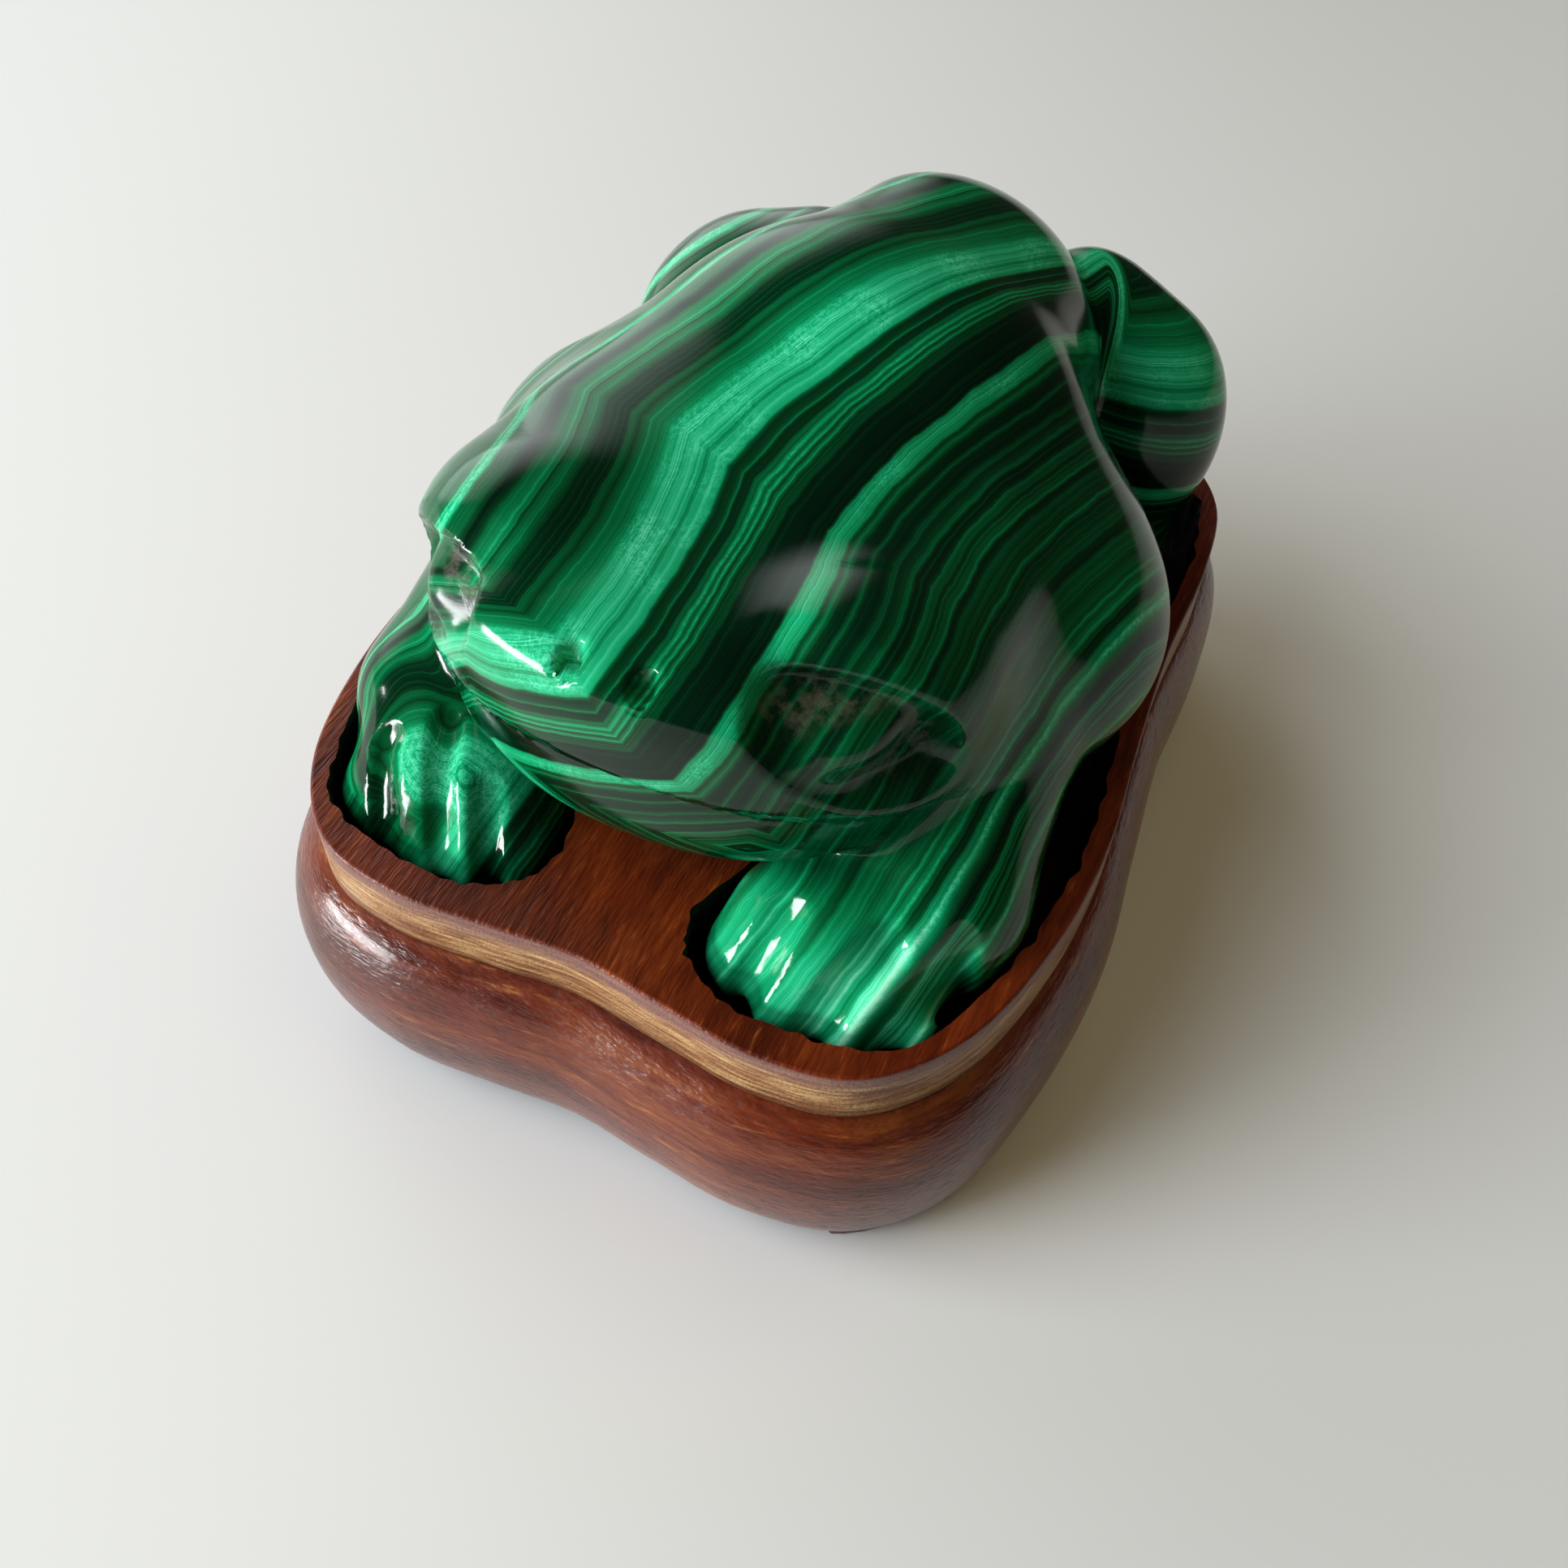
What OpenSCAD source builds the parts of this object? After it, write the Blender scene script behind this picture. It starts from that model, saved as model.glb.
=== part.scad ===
// Carved stone frog that lifts out of the pocket of a moulded hardwood stand.
// Millimetres, +Z up, the frog looks along -Y, and the feet stand on z = 0.

/* [Stand] */
// Height of the four feet under the moulding
foot_h = 2.5; // [1.5:0.5:4]
// Height of the rounded base moulding
base_h = 20; // [17:0.5:24]
// Thickness of the top plate, which is also the depth of the pocket
plate_t = 7.5; // [7:0.5:9]
// Space between the frog and the wall of its pocket
pocket_gap = 0.8; // [0.4:0.1:1.2]
// Radial width of a foot
foot_w = 9; // [6:0.5:12]

/* [Frog] */
// Height of the back above the top of the stand
back_h = 40; // [38:0.5:42]
// Height of the brows above the top of the stand
brow_h = 33; // [32:0.5:34]
// Reach of the toes from the paw's centre
toe_reach = 8; // [7:0.5:8.5]

/* [Smoothness] */
// Sides round the largest rounded forms of the frog
body_fn = 40; // [24:4:48]
// Sides round the limbs and toes
limb_fn = 20; // [12:4:28]
// Steps between two outline points of the stand
outline_steps = 6; // [3:1:8]

/* [Hidden] */

stone = [0.05, 0.42, 0.25];
top_wood = [0.55, 0.25, 0.11];
base_wood = [0.42, 0.17, 0.10];
foot_wood = [0.25, 0.08, 0.08];

base_z = foot_h;
floor_z = base_z + base_h;
top_z = floor_z + plate_t;
big = 200;

// Right halves of the stand's outlines, from the middle of the front to the middle of the back
plate_half = [[0, -47.4], [9, -48.3], [19, -49.1], [28.5, -46.8], [35.4, -38.6], [38.8, -26],
              [39.5, -13], [38, 1], [36.8, 15], [36.6, 29], [34.5, 40.5], [28, 47.3],
              [17, 49.6], [0, 49.4]];
bulge_half = [[0, -52], [9.5, -52.9], [20, -53.4], [31, -50.4], [38.5, -42.4], [42, -29],
              [43, -15], [41.2, 0], [39.4, 15], [39.2, 30], [37.2, 42.5], [30.5, 50.8],
              [18, 53.4], [0, 53]];
// Right half of the pocket, round the paw, the flank and the hind foot
pocket_half = [[8.8, -27.5], [7.4, -38], [9.4, -42.8], [15, -45.6], [23, -45], [30.5, -42.3],
               [34.6, -34], [37, -23], [37.2, -12], [35.8, 0], [34.8, 15], [34.6, 29],
               [32.4, 39.5], [26.5, 45], [16, 47], [0, 47]];

// Closed list of points from a right half, the left half being its mirror image
function both_halves(half) = let (n = len(half)) concat(
    half,
    [for (i = [n - 1:-1:0]) if (half[i][0] > 0.01) [-half[i][0], half[i][1]]]
);
// One point of the smooth curve that passes through four neighbours
function curve_point(a, b, c, d, t) =
    0.5 * (2 * b + (c - a) * t + (2 * a - 5 * b + 4 * c - d) * t * t
           + (3 * b - a - 3 * c + d) * t * t * t);
// Smooth closed curve through all the points
function smooth_ring(p, steps) = let (n = len(p)) [
    for (i = [0:n - 1], k = [0:steps - 1])
        curve_point(p[(i + n - 1) % n], p[i], p[(i + 1) % n], p[(i + 2) % n], k / steps)
];

plate_ring = smooth_ring(both_halves(plate_half), outline_steps);
bulge_ring = smooth_ring(both_halves(bulge_half), outline_steps);
pocket_ring = smooth_ring(both_halves(pocket_half), outline_steps);
ring_n = len(plate_ring);

// Moulding profile: swell 0 is the plate's outline, 1 is the widest line of the bulge
moulding_steps = 12;
moulding_angle = 80;
upper_taper = 1.35;
lower_taper = 0.75;
function moulding_swell(a) = 1 - (a > 0 ? upper_taper : lower_taper) * (1 - cos(a));
function moulding_height(a) = base_z + base_h / 2 * (1 + sin(a) / sin(moulding_angle));

function swollen(i, s) = plate_ring[i] * (1 - s) + bulge_ring[i] * s;

// Solid through equal rings of points, each ring above the one before it
module loft(rings) {
    n = len(rings[0]);
    m = len(rings);
    points = [for (ring = rings) each ring];
    sides = [for (j = [0:m - 2], i = [0:n - 1])
        let (a = j * n + i, b = j * n + (i + 1) % n) each [[a, a + n, b], [b, a + n, b + n]]];
    bottom = [for (i = [0:n - 1]) i];
    top = [for (i = [n - 1:-1:0]) (m - 1) * n + i];
    polyhedron(points, concat(sides, [bottom, top]));
}

// Ellipsoid of three radii
module blob(at, radii, turn = [0, 0, 0], fn = body_fn) {
    translate(at)
        rotate(turn)
            scale(radii)
                sphere(r = 1, $fn = fn);
}

// Rounded limb between two balls
module limb(a, ra, b, rb, fn = limb_fn) {
    hull() {
        translate(a) sphere(r = ra, $fn = fn);
        translate(b) sphere(r = rb, $fn = fn);
    }
}

module both_sides() {
    children();
    mirror([1, 0, 0]) children();
}

module torso() {
    hull() {
        blob([0, 0, 10.5], [36.3, 25, 22]);
        blob([0, -15, 11], [29, 17, 17]);
        blob([0, 10, back_h - 22], [25, 18, 22]);
    }
    hull() {
        blob([0, 10, back_h - 22], [25, 18, 22]);
        blob([0, 24, back_h - 22.5], [21, 18, 20]);
    }
}

module head() {
    hull() {
        blob([0, -22, 18], [25, 13, 13]);
        blob([0, -33, 21], [14, 10, 9]);
        blob([0, -30, 17], [20, 13, 5]);
    }
}

module brow() {
    hull() {
        blob([16, -24, brow_h - 8], [7, 9, 8], fn = limb_fn);
        blob([21, -20, brow_h - 14], [6, 8, 9], fn = limb_fn);
    }
}

module arm() {
    limb([24, -15, 7], 11, [26.5, -27, 1], 9);
    limb([26.5, -27, 1], 9, [21, -34, -3], 7.5);
}

toe_spread = 1.25;
toe_angles = [-42, -72, -106, -140];
module paw() {
    for (a = toe_angles)
        limb([20, -34, -3], 5,
             [20 + toe_reach * toe_spread * cos(a), -34 + toe_reach * sin(a), -4], 2.8);
}

module haunch() {
    hull() {
        blob([15, 36, 11], [11, 10, 15], fn = limb_fn);
        blob([24, 37, 8], [10, 10, 13.5], fn = limb_fn);
    }
    limb([26, 36, -3], 5, [26, 22, -3], 5);
}

// Room kept for the rim of the pocket all round the lower part of the frog
module rim_room() {
    difference() {
        translate([-big / 2, -big / 2, -plate_t - 1]) cube([big, big, plate_t + 1 + pocket_gap]);
        translate([0, 0, -big / 2])
            linear_extrude(big) offset(delta = -pocket_gap) polygon(pocket_ring);
    }
}

module malachite_frog() {
    color(stone)
        translate([0, 0, top_z])
            difference() {
                union() {
                    torso();
                    head();
                    both_sides() {
                        brow();
                        arm();
                        paw();
                        haunch();
                    }
                }
                rim_room();
                translate([-big / 2, -big / 2, -plate_t - big]) cube([big, big, big]);
            }
}

module stand_top_plate() {
    color(top_wood)
        translate([0, 0, floor_z])
            linear_extrude(plate_t)
                difference() {
                    polygon(plate_ring);
                    polygon(pocket_ring);
                }
}

module stand_base() {
    color(base_wood)
        loft([for (k = [0:moulding_steps])
            let (a = moulding_angle * (2 * k / moulding_steps - 1))
                [for (i = [0:ring_n - 1])
                    let (p = swollen(i, moulding_swell(a))) [p[0], p[1], moulding_height(a)]]]);
}

// Foot that follows a corner of the moulding between two outline points
module foot(first, last) {
    outer = [for (i = [first:last]) swollen(i, moulding_swell(-moulding_angle))];
    inner = [for (i = [last:-1:first])
        let (p = outer[i - first]) p * (1 - foot_w / norm(p))];
    color(foot_wood)
        linear_extrude(foot_h)
            polygon(concat(outer, inner));
}

front_foot = [2.9, 4.4] * outline_steps;
rear_foot = [9.7, 11.3] * outline_steps;
module foot_front_left() { foot(round(front_foot[0]), round(front_foot[1])); }
module foot_rear_left() { foot(round(rear_foot[0]), round(rear_foot[1])); }
module foot_front_right() { mirror([1, 0, 0]) foot_front_left(); }
module foot_rear_right() { mirror([1, 0, 0]) foot_rear_left(); }

malachite_frog();
stand_top_plate();
stand_base();
foot_front_left();
foot_front_right();
foot_rear_left();
foot_rear_right();
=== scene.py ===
import math

import bmesh
import bpy
import numpy as np
from mathutils import Matrix, Vector


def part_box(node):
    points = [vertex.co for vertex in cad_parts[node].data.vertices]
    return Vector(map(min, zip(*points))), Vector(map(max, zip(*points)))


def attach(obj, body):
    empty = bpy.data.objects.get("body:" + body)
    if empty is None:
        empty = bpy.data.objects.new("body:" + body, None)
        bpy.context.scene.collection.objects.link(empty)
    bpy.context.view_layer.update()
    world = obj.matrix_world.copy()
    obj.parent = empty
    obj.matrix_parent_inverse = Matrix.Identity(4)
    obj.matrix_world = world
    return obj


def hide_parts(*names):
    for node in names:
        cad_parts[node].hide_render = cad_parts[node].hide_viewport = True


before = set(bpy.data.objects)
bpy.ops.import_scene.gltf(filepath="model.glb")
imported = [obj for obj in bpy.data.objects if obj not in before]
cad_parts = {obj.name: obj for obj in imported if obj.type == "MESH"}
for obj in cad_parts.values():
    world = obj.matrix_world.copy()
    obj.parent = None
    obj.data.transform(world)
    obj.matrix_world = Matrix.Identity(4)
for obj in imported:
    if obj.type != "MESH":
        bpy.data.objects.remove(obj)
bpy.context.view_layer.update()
mm = 0.001
plateLow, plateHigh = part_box("stand_top_plate")
baseLow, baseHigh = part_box("stand_base")
topZ = plateHigh.z / mm        # top of the stand
floorZ = plateLow.z / mm       # floor of the pocket
baseZ = baseLow.z / mm         # underside of the moulding
print("frame loaded, top of the stand at", round(topZ, 2), "mm")


# one number, colour or vector inside a material, with ordinary arithmetic
class Value:
    def __init__(self, board, link):
        self.board = board
        self.link = link

    def maths(self, operation, *others):
        return self.board.add("Math", {"operation": operation}, [self, *others])

    def __add__(self, other):
        return self.maths("ADD", other)

    def __sub__(self, other):
        return self.maths("SUBTRACT", other)

    def __rsub__(self, other):
        return self.board.add("Math", {"operation": "SUBTRACT"}, [other, self])

    def __mul__(self, other):
        return self.maths("MULTIPLY", other)

    def __truediv__(self, other):
        return self.maths("DIVIDE", other)

    def __pow__(self, other):
        return self.maths("POWER", other)

    __radd__ = __add__
    __rmul__ = __mul__


# the nodes of one material, or of the room's light
class Board:
    def __init__(self, owner):
        owner.use_nodes = True
        self.owner = owner
        self.tree = owner.node_tree
        self.tree.nodes.clear()

    # adds a node; settings come first, then socket values or links, by place or by name
    # output is the socket that comes back, or None for the list of them all
    def add(self, kind, settings=None, sockets=(), output=0):
        node = self.tree.nodes.new("ShaderNode" + kind)
        settings = dict(settings or {})
        stops = settings.pop("stops", None)
        for name, value in settings.items():
            setattr(node, name, value)
        if stops:
            ramp = node.color_ramp
            while len(ramp.elements) < len(stops):
                ramp.elements.new(0.5)
            for element, (place, colour) in zip(ramp.elements, stops):
                element.position = place
                element.color = colour if len(colour) == 4 else (*colour, 1)
        pairs = sockets.items() if isinstance(sockets, dict) else enumerate(sockets)
        for key, value in pairs:
            if isinstance(value, Value):
                self.tree.links.new(value.link, node.inputs[key])
            elif value is not None:
                node.inputs[key].default_value = value
        values = [Value(self, socket) for socket in node.outputs]
        return values if output is None or not values else values[output]

    def position(self):
        place = self.add("TexCoord", output=3)
        return self.add("VectorMath", {"operation": "MULTIPLY"}, [place, (1 / mm,) * 3])

    def parts(self, vector):
        return self.add("SeparateXYZ", None, [vector], None)

    def mix(self, factor, a, b, mode="MIX"):
        a, b = [(*c, 1) if isinstance(c, tuple) and len(c) == 3 else c for c in (a, b)]
        settings = {"data_type": "RGBA", "blend_type": mode, "clamp_factor": True}
        return self.add("Mix", settings, {0: factor, 6: a, 7: b}, 2)

    def noise(self, vector, scale, detail=2, roughness=0.5, distortion=0):
        names = {"Vector": vector, "Scale": scale, "Detail": detail,
                 "Roughness": roughness, "Distortion": distortion}
        return self.add("TexNoise", {"noise_dimensions": "3D"}, names)

    def lines(self, value, scale, detail=2, roughness=0.5):
        names = {"W": value, "Scale": scale, "Detail": detail, "Roughness": roughness}
        return self.add("TexNoise", {"noise_dimensions": "1D"}, names)

    # 0 below low, 1 above high, smooth between
    def step(self, value, low, high):
        names = {0: value, 1: low, 2: high, 3: 0.0, 4: 1.0}
        return self.add("MapRange", {"interpolation_type": "SMOOTHSTEP"}, names)

    def stretch(self, vector, sizes, turn=(0, 0, 0)):
        names = {"Vector": vector, "Scale": sizes, "Rotation": turn}
        return self.add("Mapping", None, names)

    def finish(self, shader):
        self.add("OutputMaterial", None, [shader])
        return self.owner


# a display colour, 0 to 255 a channel, as linear light
def tint(red, green, blue):
    def linear(c):
        c /= 255
        return c / 12.92 if c <= 0.04045 else ((c + 0.055) / 1.055) ** 2.4
    return tuple(linear(c) for c in (red, green, blue))


malachite = {
    "dip": 0.45,                 # how fast the layers lean with height
    "rearSlope": (0.53, 0.31),   # drift of the layers along the back, right side then left
    "neck": -9.0,                # y where the layers turn between back and head
    "kink": -14.5,               # y of the sharp jog behind the eyes
    "jog": 4.6,                  # how far the layers step there
    "snoutY": -38.0,             # the chevrons stay in front of this
    "wander": 1.8, "ripple": 1.0, "tremble": 0.22,   # unevenness of the layers, mm
    "fine": 0.36, "hair": 0.16, "deep": 0.12,        # strength of the thin lines
    "lace": 0.13, "grain": 0.07,                     # mottling of the pale bands
    "paleFoot": 0.34,            # how much lighter the left paw is
    "dustColour": (92, 86, 70), "dust": 0.6,
    "roughness": 0.11, "ior": 1.47, "specular": 0.33,
}
# layer position in mm and how light the stone is there, 0 black green and 1 the palest line;
# one list for the frog's right half and one for its left
layersRight = [(-36, .42), (-33.2, .5), (-32.6, .3), (-31.6, .46), (-30.4, .12), (-28.2, .1),
               (-27.4, .36), (-26.9, .24), (-25.4, .42), (-24.4, .4), (-22.9, .66), (-20.6, .74),
               (-19.2, .7), (-18.7, .52), (-18.2, .7), (-17.2, .72), (-16.6, .5), (-16, .14),
               (-15, .16), (-14.75, .5), (-14.5, .14), (-13.6, .1), (-13.3, .44), (-12.9, .3),
               (-12.4, .62), (-12, .34), (-11.6, .6), (-11.2, .22), (-10.7, .44), (-10.2, .16),
               (-9.5, .26), (-9, .07)]
layersLeft = [(-9, .07), (-6.6, .03), (-5, .04), (-4.7, .5), (-4, .64), (-2.9, .6),
              (-2.4, .2), (-1.9, .42), (-1.3, .1), (-.5, .07), (-.1, .34), (.4, .1), (1.6, .06),
              (2.1, .32), (2.6, .12), (3.8, .3), (4.3, .08), (5.3, .1), (5.7, .36), (6.6, .2),
              (8, .34), (8.4, .1), (9.2, .28), (11, .22), (11.4, .36), (12, .16), (14, .3),
              (15.4, .12), (16, .32), (18.5, .24), (19.5, .4), (22, .3)]
stoneColours = [(0, tint(1, 15, 8)), (.1, tint(1, 27, 13)), (.22, tint(2, 50, 24)),
                (.36, tint(3, 84, 45)), (.5, tint(7, 122, 74)), (.64, tint(24, 158, 106)),
                (.78, tint(60, 190, 142)), (.9, tint(104, 212, 168)), (1, tint(150, 226, 188))]


def greyRamp(board, value, stops):
    low, high = stops[0][0], stops[-1][0]
    placed = [((p - low) / (high - low), (v, v, v)) for p, v in stops]
    return board.add("ValToRGB", {"stops": placed}, [(value - low) / (high - low)])


def malachiteStone():
    m = malachite
    board = Board(bpy.data.materials.new("polishedMalachite"))
    place = board.position()
    x, y, height = board.parts(place)
    z = height - topZ
    wander = board.noise(place, 0.05, 2) - 0.5
    ripple = board.noise(place, 0.17, 2) - 0.5
    tremble = board.noise(place, 0.9, 2) - 0.5
    rear = y - m["neck"]
    rear = (rear + (rear * rear + 25).maths("SQRT")) * 0.5
    flat = x - z * m["dip"]
    high, low = m["rearSlope"]
    rearShift = rear * (high - board.step(flat - rear * 0.42, -21, -9) * (high - low))
    front = (m["kink"] - 0.25 * (x + 1) - y + ripple * 2).maths("MAXIMUM", 0)
    ease = 1 - board.step(flat, -19, -7) * 0.6
    frontShift = (1 - (front / -8).maths("EXPONENT")) * m["jog"] * ease
    main = flat - rearShift - frontShift
    snout = x * 0.5 - z * 1.3 + 19.9
    snout = snout - (y - m["snoutY"]).maths("MAXIMUM", 0) * 2
    snout = snout - (13 - z).maths("MAXIMUM", 0) * 3
    # the layers lie nearly level in the left haunch
    haunch = board.step(x - z * 0.6 + (y - 36) * 0.8, 0.5, 4) * board.step(y, 24, 28)
    level = 12 - (z + y * 0.2) * 1.2
    main = main + (level - main) * haunch
    layer = main.maths("MAXIMUM", snout) + wander * m["wander"]
    layer = layer + ripple * m["ripple"] + tremble * m["tremble"]

    right = greyRamp(board, layer, layersRight)
    left = greyRamp(board, layer, layersLeft)
    placed = board.mix(board.step(layer, -9.1, -8.9), right, left)
    broad = board.lines(layer, 0.32, 3, 0.62)
    elsewhere = ((broad - 0.5) * 2.1 + 0.3).maths("MAXIMUM", 0.03)
    far = board.step(layer, 19, 22) + (1 - board.step(layer, -36, -33))
    tone = board.add("RGBToBW", None, [board.mix(far, placed, elsewhere)])

    # thin pale and dark lines, then the mottling of the pale bands
    fine = board.lines(layer, 1.7, 4, 0.7) - 0.5
    hair = 1 - (board.lines(layer + 40, 1.3, 2, 0.6) - 0.5).maths("ABSOLUTE") * 2
    deep = 1 - (board.lines(layer + 90, 1.0, 3, 0.6) - 0.5).maths("ABSOLUTE") * 2
    bright = board.step(tone, 0.42, 0.66)
    lace = board.noise(board.stretch(place, (1, 0.6, 1)), 1.5, 3, 0.65, 0.6)
    lace = 1 - board.step((lace - 0.5).maths("ABSOLUTE"), 0.0, 0.09)
    patch = board.step(board.noise(place, 0.12, 2), 0.42, 0.6)
    grain = board.noise(place, 3.2, 3, 0.7) - 0.5
    tone = tone * 0.84 + 0.05 + fine * m["fine"] * (0.4 + tone)
    tone = tone + hair ** 46 * m["hair"] - deep ** 40 * m["deep"] * bright
    tone = tone + lace * bright * patch * m["lace"] + grain * m["grain"] * (0.3 + tone)
    paw = board.step(-1 * y, 30, 36) * (1 - board.step(z, 3, 10)) * board.step(x, 2, 8)
    tone = tone + paw * m["paleFoot"]
    colour = board.add("ValToRGB", {"stops": stoneColours}, [tone])
    cloud = board.step(board.noise(place, 0.09, 2), 0.45, 0.75)
    colour = board.mix(cloud * 0.25, colour, (*tint(4, 70, 60), 1), "SOFT_LIGHT")

    # old polish and dust left in the carved hollows
    hollow = board.add("Attribute", {"attribute_name": "hollow"}, output=2)
    dustNoise = board.noise(place, 0.55, 4, 0.65)
    dust = board.step(hollow, 0.66, 1.0) * board.step(dustNoise, 0.42, 0.72)
    colour = board.mix(dust * m["dust"], colour, tint(*m["dustColour"]))
    scratches = board.noise(board.stretch(place, (0.5, 4, 2), (0.3, 0.2, 0.7)), 0.8, 3, 0.7)
    worn = board.step(scratches, 0.56, 0.75)
    roughness = m["roughness"] + worn * 0.05 + dust * 0.45 + board.step(hollow, 0.1, 0.6) * 0.1
    bump = board.add("Bump", None, {"Strength": 0.12, "Distance": 0.00025,
                                    "Height": scratches * 0.25 + dustNoise * dust * 3})
    shader = board.add("BsdfPrincipled", None, {
        "Base Color": colour, "Roughness": roughness, "IOR": m["ior"], "Normal": bump,
        "Specular IOR Level": m["specular"]})
    return board.finish(shader)


def hardwood(name, look):
    board = Board(bpy.data.materials.new(name))
    place = board.position()
    x, y, z = board.parts(place)
    warp = board.noise(place, 0.05, 2) - 0.5
    along = board.stretch(place, look["grain"])
    figure = board.noise(along, 0.22, 4, 0.6, 0.6)
    flecks = board.noise(along, 1.5, 3, 0.65)
    pores = board.noise(board.stretch(place, look["pores"]), 2.6, 2, 0.6)
    colour = board.add("ValToRGB", {"stops": look["colours"]},
                       [figure * 0.75 + flecks * 0.35 - 0.05 + warp * 0.3])
    if look.get("band"):
        b = look["band"]
        ragged = board.noise(board.stretch(place, (0.3, 0.3, 2.6)), 0.5, 4, 0.6) - 0.5
        layer = z + warp * 2.2 + ragged * 3.4
        streaks = board.noise(board.stretch(place, (0.16, 0.16, 2.4)), 0.9, 4, 0.62)
        bandColour = board.add("ValToRGB", {"stops": b["colours"]}, [streaks])
        upper = board.step(layer, b["upper"] - 1.2, b["upper"] + 0.8)
        bandColour = board.mix(upper * 0.85, bandColour, b["upperColour"])
        lower = 1 - board.step(layer, b["lower"] - 0.6, b["lower"] + 0.9)
        bandColour = board.mix(lower * 0.7, bandColour, b["lowerColour"])
        below = 1 - board.step(z, topZ - 0.5, topZ - 0.15)
        colour = board.mix(below, colour, bandColour)
    blotch = board.step(board.noise(place, 0.085, 3, 0.6), 0.5, 0.72)
    colour = board.mix(blotch * look["blotch"], colour, look["blotchColour"])
    gold = board.step(flecks, 0.60, 0.74)
    colour = board.mix(gold * look["fleck"], colour, look["fleckColour"])
    dark = 1 - board.step(pores, 0.30, 0.42)
    colour = board.mix(dark * 0.4, colour, look["poreColour"])
    roughness = look["roughness"] + (flecks - 0.5) * 0.25 + dark * 0.2
    height = pores * 1.1 + flecks * 0.6 + board.noise(place, 0.3, 2) * 0.9
    bump = board.add("Bump", None, {"Strength": look["bump"], "Distance": 0.0004, "Height": height})
    shader = board.add("BsdfPrincipled", None, {
        "Base Color": colour, "Roughness": roughness, "IOR": 1.42, "Normal": bump,
        "Coat Weight": look["coat"], "Coat Roughness": 0.14})
    return board.finish(shader)


plateLook = {
    "grain": (1, 0.16, 1), "pores": (1, 0.12, 1),
    "colours": [(0.2, tint(48, 12, 4)), (0.42, tint(80, 24, 6)), (0.56, tint(106, 38, 10)),
                (0.7, tint(132, 55, 16)), (0.85, tint(154, 76, 26))],
    "band": {"upper": 28.2, "lower": 23.4,
             "colours": [(0.3, tint(100, 60, 38)), (0.45, tint(138, 94, 60)),
                         (0.56, tint(176, 136, 90)), (0.7, tint(202, 170, 120))],
             "upperColour": tint(112, 76, 74), "lowerColour": tint(82, 42, 28)},
    "blotch": 0.3, "blotchColour": tint(84, 20, 8),
    "fleck": 0.35, "fleckColour": tint(176, 98, 36), "poreColour": tint(38, 11, 4),
    "roughness": 0.4, "bump": 0.3, "coat": 0.05,
}
baseLook = {
    "grain": (0.13, 0.13, 1.1), "pores": (0.22, 0.22, 1),
    "colours": [(0.2, tint(43, 13, 7)), (0.42, tint(75, 25, 13)), (0.54, tint(101, 41, 19)),
                (0.68, tint(130, 68, 30)), (0.84, tint(166, 112, 54))],
    "blotch": 0.35, "blotchColour": tint(88, 24, 20),
    "fleck": 0.45, "fleckColour": tint(180, 118, 60), "poreColour": tint(42, 13, 9),
    "roughness": 0.3, "bump": 0.42, "coat": 0.3,
}
# painted shade: the pocket's wall and the chips along its rim are near-black wood standing in for
# the shade in the gap around the frog; the same wood covers the moulding's hidden top and bottom
pocketShadeLook = {
    "grain": (1, 0.2, 1), "pores": (1, 0.2, 1),
    "colours": [(0.2, tint(14, 7, 6)), (0.5, tint(26, 12, 9)), (0.8, tint(48, 23, 14))],
    "blotch": 0.3, "blotchColour": tint(16, 8, 6),
    "fleck": 0.15, "fleckColour": tint(70, 36, 20), "poreColour": tint(8, 4, 3),
    "roughness": 0.7, "bump": 0.8, "coat": 0.0,
}
footLook = {
    "grain": (0.4, 0.4, 1), "pores": (0.4, 0.4, 1),
    "colours": [(0.2, tint(40, 12, 12)), (0.5, tint(66, 20, 18)), (0.8, tint(92, 34, 26))],
    "blotch": 0.3, "blotchColour": tint(54, 14, 16),
    "fleck": 0.25, "fleckColour": tint(120, 60, 36), "poreColour": tint(30, 8, 8),
    "roughness": 0.42, "bump": 0.4, "coat": 0.3,
}


stand = {
    # right halves, from the middle of the front to the middle of the back, in mm
    "plate": [(0, -47.4), (9, -48.3), (19, -49.1), (28.5, -46.8), (35.4, -38.6), (38.8, -26),
              (39.5, -13), (38, 1), (36.8, 15), (36.6, 29), (34.5, 40.5), (28, 47.3),
              (17, 49.6), (0, 49.4)],
    "bulge": [(0, -52), (9.5, -52.9), (20, -53.4), (31, -50.4), (38.5, -42.4), (42, -29),
              (43, -15), (41.2, 0), (39.4, 15), (39.2, 30), (37.2, 42.5), (30.5, 50.8),
              (18, 53.4), (0, 53)],
    "pocket": [(8.8, -27.5), (7.4, -38), (9.4, -42.8), (15, -45.6), (23, -45), (30.5, -42.3),
               (34.6, -34), (37, -23), (37.2, -12), (35.8, 0), (34.8, 15), (34.6, 29),
               (32.4, 39.5), (26.5, 45), (16, 47), (0, 47)],
    "steps": 14,             # points between two outline points
    "swellAngle": 80,        # the moulding's round, in degrees each way
    "upperTaper": 1.35, "lowerTaper": 0.75,
    "levels": 30,            # rings up the moulding
    "arris": 0.35,           # softened edges of the top plate
    "chip": 0.55,            # depth of the chips along the pocket's rim
}


def smoothRing(half, steps):
    points = np.array(half + [(-px, py) for px, py in reversed(half) if px > 0.01], float)
    before, after, later = (np.roll(points, k, 0) for k in (1, -1, -2))
    rows = []
    for t in np.arange(steps) / steps:
        rows.append(0.5 * (2 * points + (after - before) * t
                           + (2 * before - 5 * points + 4 * after - later) * t ** 2
                           + (3 * points - before - 3 * after + later) * t ** 3))
    return np.stack(rows, 1).reshape(-1, 2)


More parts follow.
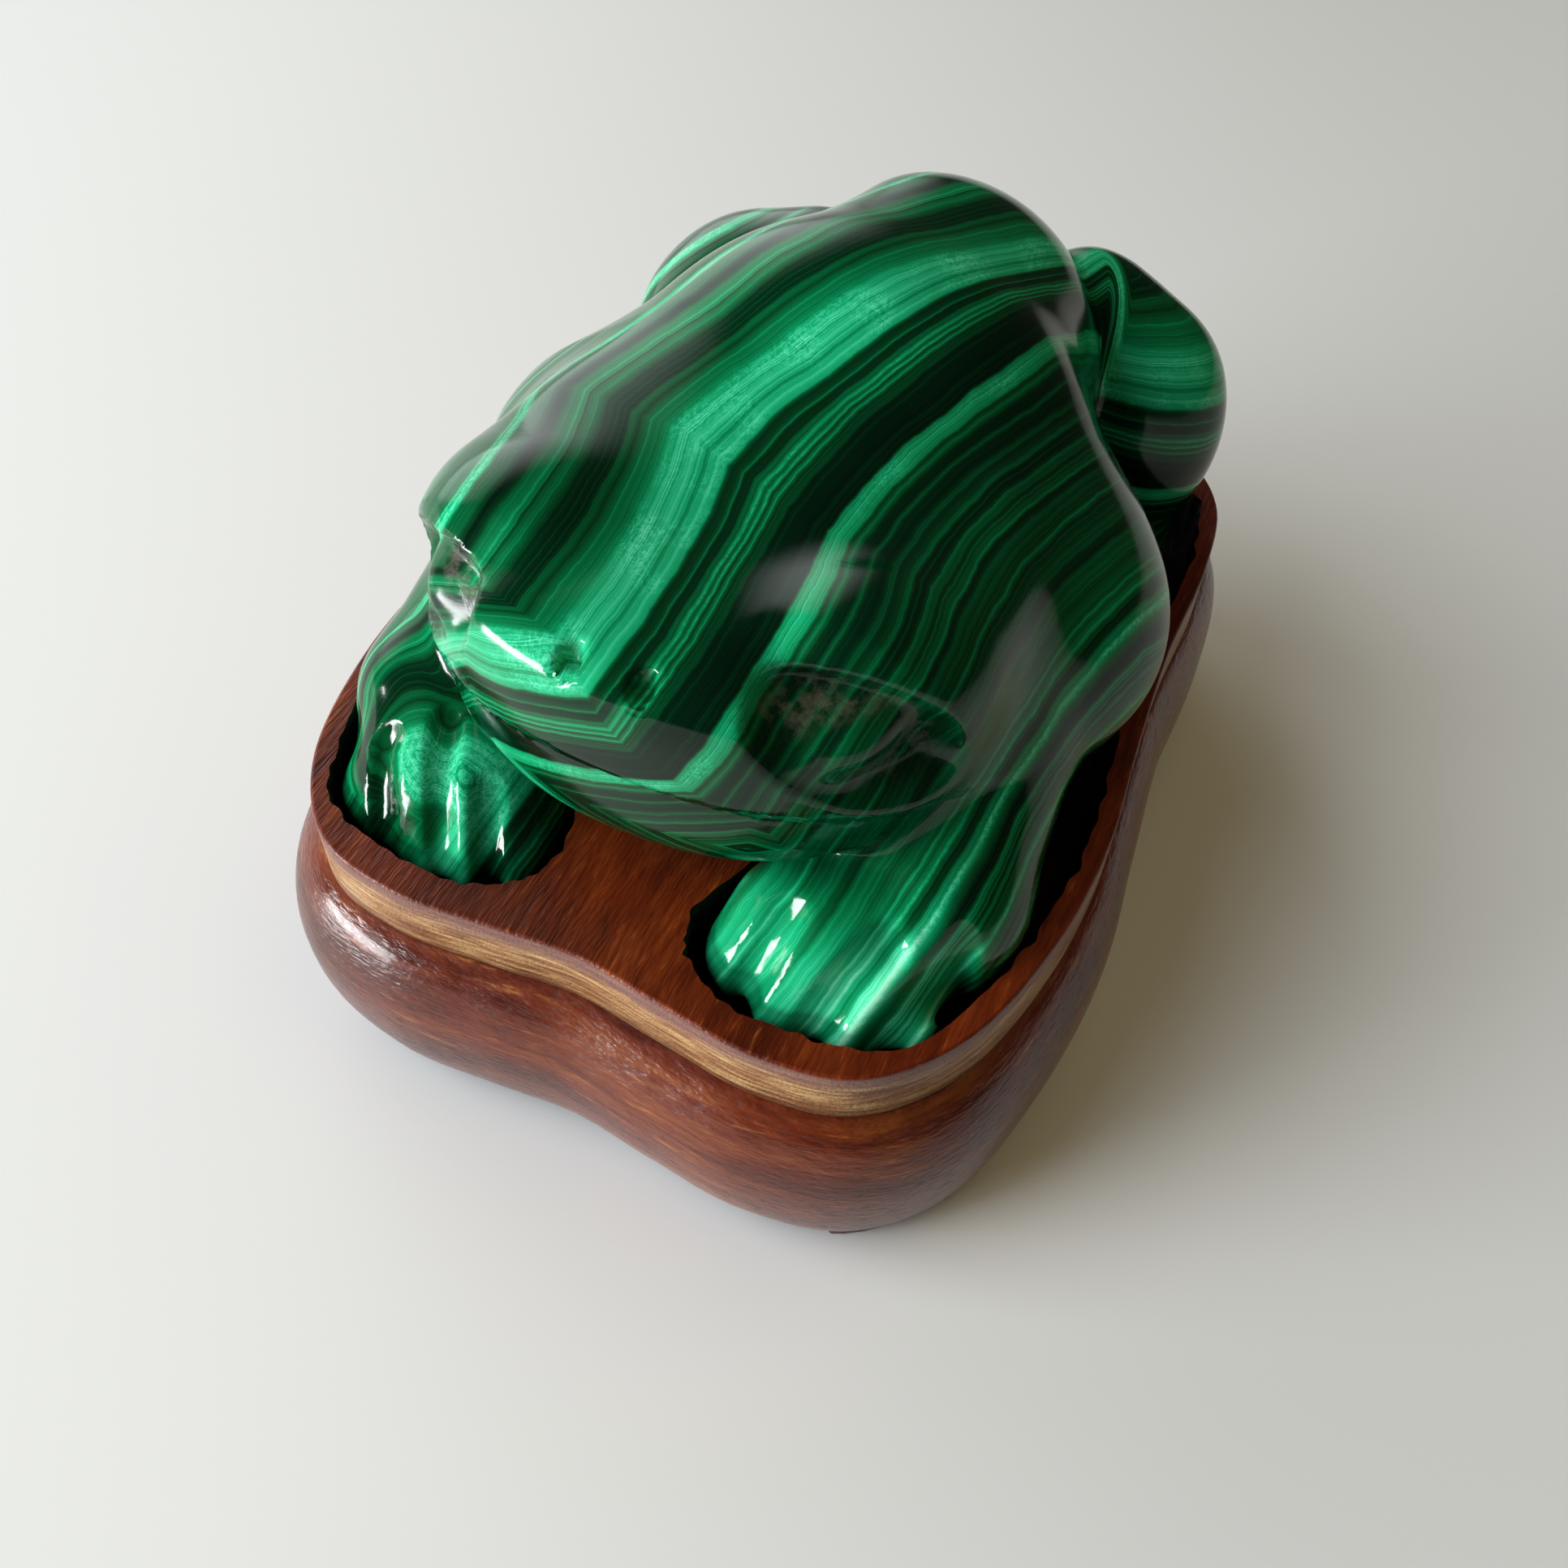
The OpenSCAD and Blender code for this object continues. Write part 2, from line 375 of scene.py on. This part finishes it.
def outwards(ring):
    along = np.roll(ring, -1, 0) - np.roll(ring, 1, 0)
    normal = np.stack([along[:, 1], -along[:, 0]], 1)
    return normal / np.linalg.norm(normal, axis=1)[:, None]


plateRing = smoothRing(stand["plate"], stand["steps"])
bulgeRing = smoothRing(stand["bulge"], stand["steps"])
pocketRing = smoothRing(stand["pocket"], stand["steps"] * 2)


def newObject(name, mesh, material):
    mesh.name = name
    obj = bpy.data.objects.new(name, mesh)
    bpy.context.scene.collection.objects.link(obj)
    for m in material if isinstance(material, list) else [material]:
        mesh.materials.append(m)
    return obj


def ringLoop(bm, ring, z):
    verts = [bm.verts.new((px * mm, py * mm, z * mm)) for px, py in ring]
    return [bm.edges.new((a, b)) for a, b in zip(verts, verts[1:] + verts[:1])]


def bridge(bm, lower, upper):
    return bmesh.ops.bridge_loops(bm, edges=lower + upper)["faces"]


def smoothFaces(faces, smooth=True):
    for face in faces:
        face.smooth = smooth


def buildBase(materials):
    bm = bmesh.new()
    loops = []
    for k in range(stand["levels"] + 1):
        angle = math.radians(stand["swellAngle"]) * (2 * k / stand["levels"] - 1)
        taper = stand["upperTaper"] if angle > 0 else stand["lowerTaper"]
        swell = 1 - taper * (1 - math.cos(angle))
        share = math.sin(angle) / math.sin(math.radians(stand["swellAngle"]))
        z = baseZ + (floorZ - baseZ) / 2 * (1 + share)
        loops.append(ringLoop(bm, plateRing * (1 - swell) + bulgeRing * swell, z))
    for lower, upper in zip(loops, loops[1:]):
        smoothFaces(bridge(bm, lower, upper))
    caps = bmesh.ops.triangle_fill(bm, edges=loops[0], use_beauty=True, normal=(0, 0, -1))
    top = bmesh.ops.triangle_fill(bm, edges=loops[-1], use_beauty=True, normal=(0, 0, 1))
    for piece in caps["geom"] + top["geom"]:
        if isinstance(piece, bmesh.types.BMFace):
            piece.material_index = 1
    bmesh.ops.recalc_face_normals(bm, faces=bm.faces)
    mesh = bpy.data.meshes.new("mouldedBase")
    bm.to_mesh(mesh)
    bm.free()
    return newObject("mouldedBase", mesh, materials)


def wobble(count, waves, seed):
    rng = np.random.default_rng(seed)
    turn = np.arange(count) / count * 2 * math.pi
    total = np.zeros(count)
    for wave in waves:
        total += np.sin(turn * wave + rng.uniform(0, 6.28)) * rng.uniform(0.4, 1)
    return total / len(waves)


def buildPlate(materials):
    s = stand
    bm = bmesh.new()
    out = outwards(plateRing)
    edge = s["arris"]
    outer = [(plateRing - out * edge, floorZ), (plateRing, floorZ + edge),
             (plateRing, topZ - edge), (plateRing - out * edge * 0.35, topZ - edge * 0.3),
             (plateRing - out * edge, topZ)]
    loops = [ringLoop(bm, ring, z) for ring, z in outer]
    for lower, upper in zip(loops, loops[1:]):
        smoothFaces(bridge(bm, lower, upper))
    # the pocket was cut with a gouge, so its rim is ragged
    n = len(pocketRing)
    ragged = wobble(n, [9, 16, 27, 43, 71, 104], 4) * (1 + 1.6 * wobble(n, [5, 7, 12], 9))
    inward = outwards(pocketRing)
    bite = np.clip(ragged, -0.3, 1) * s["chip"]
    rim = pocketRing + inward * bite[:, None]
    wall = ringLoop(bm, pocketRing + inward * 0.25 * bite[:, None], floorZ)
    lip = ringLoop(bm, rim, topZ - 0.75)
    crest = ringLoop(bm, rim + inward * (0.12 + np.clip(bite, 0, 1) * 0.5)[:, None], topZ)
    # the wall and the rim chips take the near-black wood, painted shade in the gap
    for face in bridge(bm, wall, lip) + bridge(bm, lip, crest):
        face.material_index = 1
    for rings, way in (((loops[-1], crest), 1), ((loops[0], wall), -1)):
        bmesh.ops.triangle_fill(bm, edges=rings[0] + rings[1], use_beauty=True,
                                normal=(0, 0, way))
    bmesh.ops.recalc_face_normals(bm, faces=bm.faces)
    mesh = bpy.data.meshes.new("topPlate")
    bm.to_mesh(mesh)
    bm.free()
    return newObject("topPlate", mesh, materials)


def buildFoot(node, name, material):
    bm = bmesh.new()
    bm.from_mesh(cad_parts[node].data)
    bmesh.ops.remove_doubles(bm, verts=bm.verts, dist=1e-5)
    bmesh.ops.dissolve_limit(bm, angle_limit=math.radians(3), verts=bm.verts, edges=bm.edges)
    sharp = [e for e in bm.edges if len(e.link_faces) == 2 and e.calc_face_angle() > 0.5]
    bmesh.ops.bevel(bm, geom=sharp, offset=0.45 * mm, segments=3, profile=0.5,
                    affect="EDGES", material=-1)
    smoothFaces(bm.faces)
    bmesh.ops.recalc_face_normals(bm, faces=bm.faces)
    mesh = bpy.data.meshes.new(name)
    bm.to_mesh(mesh)
    bm.free()
    return newObject(name, mesh, material)


# All places in mm, from the top of the stand; x is mirrored for the pairs.
frog = {
    "torso": [((0.6, 1, 10.5), (36.6, 25, 22)), ((0, -13, 9), (30, 15, 15)),
              ((0, 10, 18), (25, 18, 22)), ((1.6, 24.2, 18), (19.2, 18, 20.2))],
    "slim": 0.22,
    "head": {"at": (0, -18.5, 19), "radii": (26.8, 22.2, 12), "plan": 2.2, "side": 6.2,
             "droop": 0.16},
    "brow": [((16.8, -25, 25.2), (7.2, 8.0, 7.2)), ((20, -21.5, 20), (6.2, 7.5, 9.5))],
    "arm": [((23.6, -15, 7), 10.6), ((26.5, -27, 1), 9), ((21, -34, -3), 7.5)],
    "paw": ((20.8, -33.8, -2.5), (11.6, 9.6, 9.8)),
    "toeRoot": ((20.2, -34.5, -2.5), 6),
    "toeTips": [(28.4, -38.2, -3.2), (23.4, -40.6, -3.2),
                (17.0, -41.2, -3.2), (12.6, -38.4, -3.2)],
    "toeRadius": 3.4,
    "haunchLeft": [((15.2, 38, 13), (10, 9.4, 15)), ((23.6, 37.4, 10), (9.4, 8.8, 14.2))],
    "haunchRight": [((15, 36, 10.5), (10.5, 10, 14)), ((23.6, 36.6, 8), (10, 9.6, 13)),
                    ((26.4, 28.5, 9.8), (8.0, 9.8, 9.9))],
    "hindFoot": [((25.6, 35.5, -3), 5), ((26, 22, -3), 5)],
    # eye sockets: the left one opens upwards, the right one more to the side
    "sockets": [
        {"at": (20.6, -32.8, 25.0), "along": (0.62, 0.555, -0.5), "out": (0.76, -0.5, 0.36),
         "radii": (10.2, 5.8), "depth": 3.0},
        {"at": (21.0, -31.6, 23.4), "along": (0.6, 0.6, -0.42), "out": (0.87, -0.44, 0.22),
         "radii": (9.8, 5.4), "depth": 3.0}],
    "socketWall": (0.36, 0.85), "socketReach": 9,    # upper and lower wall, shares of the radius
    "eyeball": {"at": (-0.9, -0.3), "radii": (5.8, 3.4), "turn": 46, "height": 2.7},
    # the brow's crest seen from outside the eye: v = a + b u + c u u
    "crest": {"curve": (7.6, -0.3, -0.028), "fall": 3.2, "depth": 0.9},
    "nostril": {"at": (3.3, -38.3), "radii": (1.2, 1.55), "above": 22, "depth": 2.3},
    "mouth": {"front": 19.0, "corner": 15.4, "width": 25.7, "step": 0.55, "groove": 0.35},
    # plan of each scoop between the toes: knuckle, tip, half width, depth
    "flutesLeft": [((16.6, -38.2), (14.2, -46), 2.3, 1.35), ((25.9, -36.8), (21.2, -46), 2.1, 1.3),
                   ((32.0, -33.8), (27.6, -44), 1.8, 1.1)],
    "flutesRight": [((26.2, -37.4), (22.6, -46), 1.8, 1.1), ((21.4, -34.2), (16.4, -45), 1.8, 1.15),
                    ((14.8, -38.0), (12.0, -44), 1.7, 1.0)],
    "voxels": (0.9, 0.57),    # first and final mesh size, mm
}


def length(v):
    return np.sqrt(np.einsum("ij,ij->i", v, v))


def blobDistance(p, at, radii, axes=None):
    q = p - np.array(at, float)
    if axes is not None:
        q = q @ axes.T
    q = q / np.array(radii, float)
    reach = length(q)
    return reach * (reach - 1) / np.maximum(length(q / np.array(radii, float)), 1e-9)


def limbDistance(p, a, ra, b, rb):
    a, b = np.array(a, float), np.array(b, float)
    t = np.clip(((p - a) @ (b - a)) / ((b - a) @ (b - a)), 0, 1)
    return length(p - a - t[:, None] * (b - a)) - (ra + (rb - ra) * t)


def joined(a, b, soft):
    h = np.maximum(soft - np.abs(a - b), 0) / soft
    return np.minimum(a, b) - h * h * soft / 4


def cut(a, b, soft):
    return -joined(-a, b, soft)


def between(p, first, last, steps, soft=1.5):
    best = None
    for t in np.linspace(0, 1, steps):
        at = np.array(first[0]) * (1 - t) + np.array(last[0]) * t
        radii = np.array(first[1]) * (1 - t) + np.array(last[1]) * t
        d = blobDistance(p, at, radii)
        best = d if best is None else joined(best, d, soft)
    return best


def axesFrom(along, out):
    along, out = np.array(along, float), np.array(out, float)
    along = along / np.linalg.norm(along)
    out = out - along * (out @ along)
    out = out / np.linalg.norm(out)
    return np.array([along, np.cross(out, along), out])


def headDistance(p, at, radii, plan, side, droop):
    q = np.abs(p - np.array(at, float)) / np.array(radii, float)
    q[:, 2] /= 1 - droop * np.minimum(q[:, 0], 1.2) ** 2
    q = np.maximum(q, 1e-6)
    ring = (q[:, 0] ** plan + q[:, 1] ** plan) ** (1 / plan)
    whole = (ring ** side + q[:, 2] ** side) ** (1 / side)
    ringShare = (ring / whole) ** (side - 1)
    slope = np.stack([ringShare * (q[:, 0] / ring) ** (plan - 1) / radii[0],
                      ringShare * (q[:, 1] / ring) ** (plan - 1) / radii[1],
                      (q[:, 2] / whole) ** (side - 1) / radii[2]], 1)
    return (whole - 1) / np.maximum(length(slope), 1e-9)


# height of the line between the lips
def lipHeight(p):
    m = frog["mouth"]
    return m["front"] - (m["front"] - m["corner"]) * (p[:, 0] / m["width"]) ** 2


def frogBody(p):
    f = frog
    q = p.copy()
    q[:, 0] = np.abs(q[:, 0])
    a, b, c, d = f["torso"]
    # the right side of the rump is cut slimmer than the left
    r = p.copy()
    r[:, 0] *= 1 + f["slim"] * np.clip((p[:, 1] - 2) / 20, 0, 1) * np.clip(-p[:, 0] / 8, 0, 1)
    body = joined(between(r, a, b, 4), between(r, a, c, 4), 1.5)
    body = joined(body, between(r, b, c, 4), 1.5)
    body = joined(body, between(r, c, d, 3), 1.5)
    h = f["head"]
    head = headDistance(p, h["at"], h["radii"], h["plan"], h["side"], h["droop"])
    brow = between(q, f["brow"][0], f["brow"][1], 3)
    head = joined(head, brow, 6.5)
    under = 1 / (1 + np.exp(np.clip((p[:, 2] - lipHeight(p)) / 0.12, -40, 40)))
    head = head + f["mouth"]["step"] * under
    body = joined(body, head, 8)
    arm = limbDistance(q, *f["arm"][0], *f["arm"][1])
    arm = joined(arm, limbDistance(q, *f["arm"][1], *f["arm"][2]), 2)
    paw = blobDistance(q, *f["paw"])
    for tip in f["toeTips"]:
        paw = joined(paw, limbDistance(q, *f["toeRoot"], tip, f["toeRadius"]), 3)
    arm = joined(arm, paw, 2.5)
    body = joined(body, arm, 3.5)
    left = between(q, f["haunchLeft"][0], f["haunchLeft"][1], 4)
    right = between(q, f["haunchRight"][0], f["haunchRight"][1], 4)
    right = joined(right, blobDistance(q, *f["haunchRight"][2]), 8)
    haunch = np.where(p[:, 0] > 0, left, right)
    haunch = joined(haunch, limbDistance(q, *f["hindFoot"][0], *f["hindFoot"][1]), 2.5)
    body = joined(body, haunch, 1.3)
    return body


def ease(value, low, high):
    t = np.clip((value - low) / (high - low), 0, 1)
    return t * t * (3 - 2 * t)


# how deep an eye socket is below the plain head; u runs along the eye, v up towards the brow
def eyeDepth(q, s):
    e, c = frog["eyeball"], frog["crest"]
    u, v, w = ((q - np.array(s["at"])) @ axesFrom(s["along"], s["out"]).T).T
    reach = np.sqrt((u / s["radii"][0]) ** 2 + (v / s["radii"][1]) ** 2)
    upper, lower = frog["socketWall"]
    t = np.clip((1 - reach) / (upper + (lower - upper) * ease(-v, 0, 4)), 0, 1)
    bowl = t * (2 - t)
    turn = math.radians(e["turn"])
    along = (u - e["at"][0]) * math.cos(turn) + (v - e["at"][1]) * math.sin(turn)
    across = (v - e["at"][1]) * math.cos(turn) - (u - e["at"][0]) * math.sin(turn)
    mound = np.exp(-(along / e["radii"][0]) ** 2 - (across / e["radii"][1]) ** 2) * e["height"]
    crest = c["curve"][0] + c["curve"][1] * u + c["curve"][2] * u * u
    facet = np.clip((crest - v) / c["fall"], 0, 1) * c["depth"]
    facet = facet * ease(v, -4, 2) * ease(u, -12, -6) * ease(-u, -12, -7)
    near = np.clip(1 - (w / frog["socketReach"]) ** 4, 0, 1)
    return near * (bowl * (s["depth"] - mound) + facet)


def frogForm(p, withCuts=True):
    f = frog
    body = frogBody(p)
    if not withCuts:
        return body
    q = p.copy()
    q[:, 0] = np.abs(q[:, 0])
    skin = body
    left, right = f["sockets"]
    body = body + np.where(p[:, 0] > 0, eyeDepth(q, left), eyeDepth(q, right))
    n = f["nostril"]
    near = length((q[:, :2] - np.array(n["at"])) / n["radii"])
    body = body + np.where(p[:, 2] > n["above"], n["depth"] * np.maximum(0, 1 - near ** 3), 0)
    lip = (p[:, 1] < -26) & (np.abs(skin) < 3)
    groove = f["mouth"]["groove"] * np.exp(-((p[:, 2] - lipHeight(p)) / 0.32) ** 2)
    body = body + np.where(lip, groove, 0)
    paws = (p[:, 1] < -31) & (p[:, 2] < 12)
    for key, side in (("flutesLeft", 1), ("flutesRight", -1)):
        for top, end, wide, deep in f[key]:
            top, end = np.array(top), np.array(end)
            plan = p[:, :2] * (side, 1) - top
            t = np.clip((plan @ (end - top)) / ((end - top) @ (end - top)), 0, 1)
            far = length(plan - t[:, None] * (end - top)) / wide
            body = body + np.where(paws, deep * np.maximum(0, 1 - far ** 2), 0)
    return cut(body, p[:, 2] + (topZ - floorZ), 1.0)


def slopeOf(form, p, h=0.04):
    corners = np.array([(1, -1, -1), (-1, -1, 1), (-1, 1, -1), (1, 1, 1)], float)
    values = [form(p + c * h) for c in corners]
    slope = sum(v[:, None] * c for v, c in zip(values, corners)) / (4 * h)
    return sum(values) / 4, slope


# pulls the points of a mesh onto the form, keeping them evenly spread
def pullToForm(points, edges, form, rounds, settle):
    count = len(points)
    ends = np.concatenate([edges, edges[:, ::-1]])
    shares = np.bincount(ends[:, 0], minlength=count)[:, None].clip(1)
    for k in range(rounds + settle):
        value, slope = slopeOf(form, points)
        size = np.maximum(np.einsum("ij,ij->i", slope, slope), 0.05)
        move = -(value / size)[:, None] * slope
        far = np.maximum(length(move), 1e-9)
        points = points + move * np.minimum(1, 1.6 / far)[:, None]
        if k >= rounds:
            continue
        mean = np.stack([np.bincount(ends[:, 0], points[ends[:, 1], i], count)
                         for i in range(3)], 1)
        drift = mean / shares - points
        normal = slope / np.sqrt(size)[:, None]
        drift -= np.einsum("ij,ij->i", drift, normal)[:, None] * normal
        points = points + drift * 0.5
    return points


def voxelMesh(mesh, size):
    holder = bpy.data.objects.new("block", mesh)
    bpy.context.scene.collection.objects.link(holder)
    remesh = holder.modifiers.new("remesh", "REMESH")
    remesh.mode = "VOXEL"
    remesh.voxel_size = size * mm
    graph = bpy.context.evaluated_depsgraph_get()
    made = bpy.data.meshes.new_from_object(holder.evaluated_get(graph))
    bpy.data.objects.remove(holder)
    return made


def meshArrays(mesh):
    points = np.empty(len(mesh.vertices) * 3)
    mesh.vertices.foreach_get("co", points)
    edges = np.empty(len(mesh.edges) * 2, int)
    mesh.edges.foreach_get("vertices", edges)
    return points.reshape(-1, 3) / mm - (0, 0, topZ), edges.reshape(-1, 2)


# keeps whatever stands in the pocket clear of its wall
def insidePocket(points, gap):
    ring = pocketRing - outwards(pocketRing) * gap
    low = np.where(points[:, 2] < 0.7)[0]
    moved = points[low]
    start, run = ring, np.roll(ring, -1, 0) - ring
    inside = np.zeros(len(low), bool)
    nearest = np.full(len(low), 1e9)
    target = moved[:, :2].copy()
    for s, r in zip(start, run):
        t = np.clip(((moved[:, :2] - s) @ r) / (r @ r), 0, 1)
        place = s + t[:, None] * r
        gapNow = length(moved[:, :2] - place)
        closer = gapNow < nearest
        nearest[closer] = gapNow[closer]
        target[closer] = place[closer]
        crosses = (s[1] > moved[:, 1]) != (s[1] + r[1] > moved[:, 1])
        if abs(r[1]) > 1e-12:
            inside ^= crosses & (moved[:, 0] < s[0] + (moved[:, 1] - s[1]) / r[1] * r[0])
    moved[~inside, :2] = target[~inside]
    points[low] = moved
    print("frog points pulled off the pocket wall:", int((~inside).sum()))
    return points


def buildFrog(material):
    bm = bmesh.new()
    bm.from_mesh(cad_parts["malachite_frog"].data)
    bmesh.ops.remove_doubles(bm, verts=bm.verts, dist=1e-6)
    mesh = bpy.data.meshes.new("frogBlock")
    bm.to_mesh(mesh)
    bm.free()
    coarse, final = frog["voxels"]
    sizes = [(coarse, 9, 0), (final, 5, 3)]
    for size, rounds, settle in sizes:
        mesh = voxelMesh(mesh, size)
        points, edges = meshArrays(mesh)
        points = pullToForm(points, edges, frogForm, rounds, settle)
        mesh.vertices.foreach_set("co", ((points + (0, 0, topZ)) * mm).ravel())
        mesh.update()
        print("frog form at", size, "mm:", len(points), "points")
    depth = np.clip(-frogForm(points, False) / 3, 0, 1)
    points = insidePocket(points, 0.7)
    mesh.vertices.foreach_set("co", ((points + (0, 0, topZ)) * mm).ravel())
    hollow = mesh.attributes.new("hollow", "FLOAT", "POINT")
    depth[points[:, 2] < 14] = 0
    hollow.data.foreach_set("value", depth.astype(np.float32))
    mesh.shade_smooth()
    mesh.update()
    return newObject("carvedFrog", mesh, material)


view = {"azimuth": 24, "elevation": 51.5, "roll": 2.8, "lens": 36.06,
        "distance": 169.63, "slide": (-1.883, -17.315)}
room = {
    # the last value says whether the lamp shows in the polish
    "lamps": {
        "window": {"azimuth": -46, "elevation": 5.5, "distance": 0.9, "size": (0.46, 0.2),
                   "power": 10.0, "colour": (0.96, 0.98, 1.0), "shows": True},
        "sky": {"azimuth": -54, "elevation": 42, "distance": 1.5, "size": (1.1, 1.0),
                "power": 19.0, "colour": (0.94, 1.0, 1.05), "shows": False},
        "warmFill": {"azimuth": 120, "elevation": 62, "distance": 1.0, "size": (1.0, 1.0),
                     "power": 2.15, "colour": (1.0, 0.80, 0.40), "shows": False},
    },
    "tableHalf": 1.2, "tableColour": (0.86, 0.86, 0.85), "tableShadeColour": (0.70, 0.70, 0.70),
    "tableShadeSide": (0.897, 0.441), "tableShadeFade": (-130, 150),    # the table is painted darker that way, painted shade for the light falling off, mm
    "veil": {"azimuth": -122, "elevation": 10, "colour": (2.2, 2.3, 2.3), "spread": (0.74, 1.0)},
    "dim": (0.035, 0.032, 0.026),
}


def direction(azimuth, elevation):
    a, e = math.radians(azimuth), math.radians(elevation)
    return Vector((math.sin(a) * math.cos(e), -math.cos(a) * math.cos(e), math.sin(e)))


def setCamera():
    v = view
    back = direction(v["azimuth"], v["elevation"])
    a, r = math.radians(v["azimuth"]), math.radians(v["roll"])
    level = Vector((math.cos(a), math.sin(a), 0))
    rise = back.cross(level)
    right = level * math.cos(r) + rise * math.sin(r)
    up = rise * math.cos(r) - level * math.sin(r)
    place = back * v["distance"] + right * v["slide"][0] + up * v["slide"][1] + Vector((0, 0, topZ))
    camera = bpy.data.cameras.new("camera")
    camera.lens = v["lens"]
    camera.sensor_width = 36
    camera.clip_start = 0.01
    camera.clip_end = 20
    obj = bpy.data.objects.new("camera", camera)
    bpy.context.scene.collection.objects.link(obj)
    turn = Matrix((right, up, back)).transposed().to_4x4()
    obj.matrix_world = Matrix.Translation(place * mm) @ turn
    bpy.context.scene.camera = obj


def setLights():
    for name, w in room["lamps"].items():
        lamp = bpy.data.lights.new(name, "AREA")
        lamp.shape = "RECTANGLE"
        lamp.size, lamp.size_y = w["size"]
        lamp.energy = w["power"]
        lamp.color = w["colour"]
        obj = bpy.data.objects.new(name, lamp)
        bpy.context.scene.collection.objects.link(obj)
        towards = direction(w["azimuth"], w["elevation"])
        obj.visible_glossy = w["shows"]
        obj.location = towards * w["distance"] + Vector((0, 0, 0.03))
        obj.rotation_euler = towards.to_track_quat("Z", "Y").to_euler()
    # the room is bright low down towards the back left, and dim elsewhere
    world = bpy.data.worlds.new("room")
    bpy.context.scene.world = world
    board = Board(world)
    v = room["veil"]
    side = tuple(direction(v["azimuth"], v["elevation"]))
    share = board.add("VectorMath", {"operation": "DOT_PRODUCT"}, [board.add("TexCoord"), side], 1)
    colour = board.mix(board.step(share, *v["spread"]), room["dim"], v["colour"])
    board.add("OutputWorld", None, [board.add("Background", None, [colour, 1.0])])
    bpy.context.scene.view_settings.view_transform = "Standard"


def setTable():
    bm = bmesh.new()
    bmesh.ops.create_grid(bm, x_segments=1, y_segments=1, size=room["tableHalf"])
    mesh = bpy.data.meshes.new("table")
    bm.to_mesh(mesh)
    bm.free()
    board = Board(bpy.data.materials.new("tableWhite"))
    x, y, z = board.parts(board.position())
    side, deep = room["tableShadeSide"]
    # painted shade: the white table is coloured darker towards the side where the light falls off
    across = board.step(x * side + y * deep, *room["tableShadeFade"])
    colour = board.mix(across, room["tableColour"], room["tableShadeColour"])
    shader = board.add("BsdfPrincipled", None, {
        "Base Color": colour, "Roughness": 0.6, "Specular IOR Level": 0.2})
    newObject("table", mesh, board.finish(shader))


setCamera()
setLights()
setTable()
print("camera, light and table set")

# the pocket's near-black wood is painted shade in the gap around the frog
pocketShadeWood = hardwood("pocketShadeWood", pocketShadeLook)
base = buildBase([hardwood("baseWood", baseLook), pocketShadeWood])
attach(base, "stand")
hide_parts("stand_base")
plate = buildPlate([hardwood("plateWood", plateLook), pocketShadeWood])
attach(plate, "stand")
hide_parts("stand_top_plate")
footWood = hardwood("footWood", footLook)
for node, name in (("foot_front_left", "footFrontLeft"), ("foot_front_right", "footFrontRight"),
                   ("foot_rear_left", "footRearLeft"), ("foot_rear_right", "footRearRight")):
    foot = buildFoot(node, name, footWood)
    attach(foot, "stand")
    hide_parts(node)
print("stand built")

carving = buildFrog(malachiteStone())
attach(carving, "frog")
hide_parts("malachite_frog")
print("frog built")
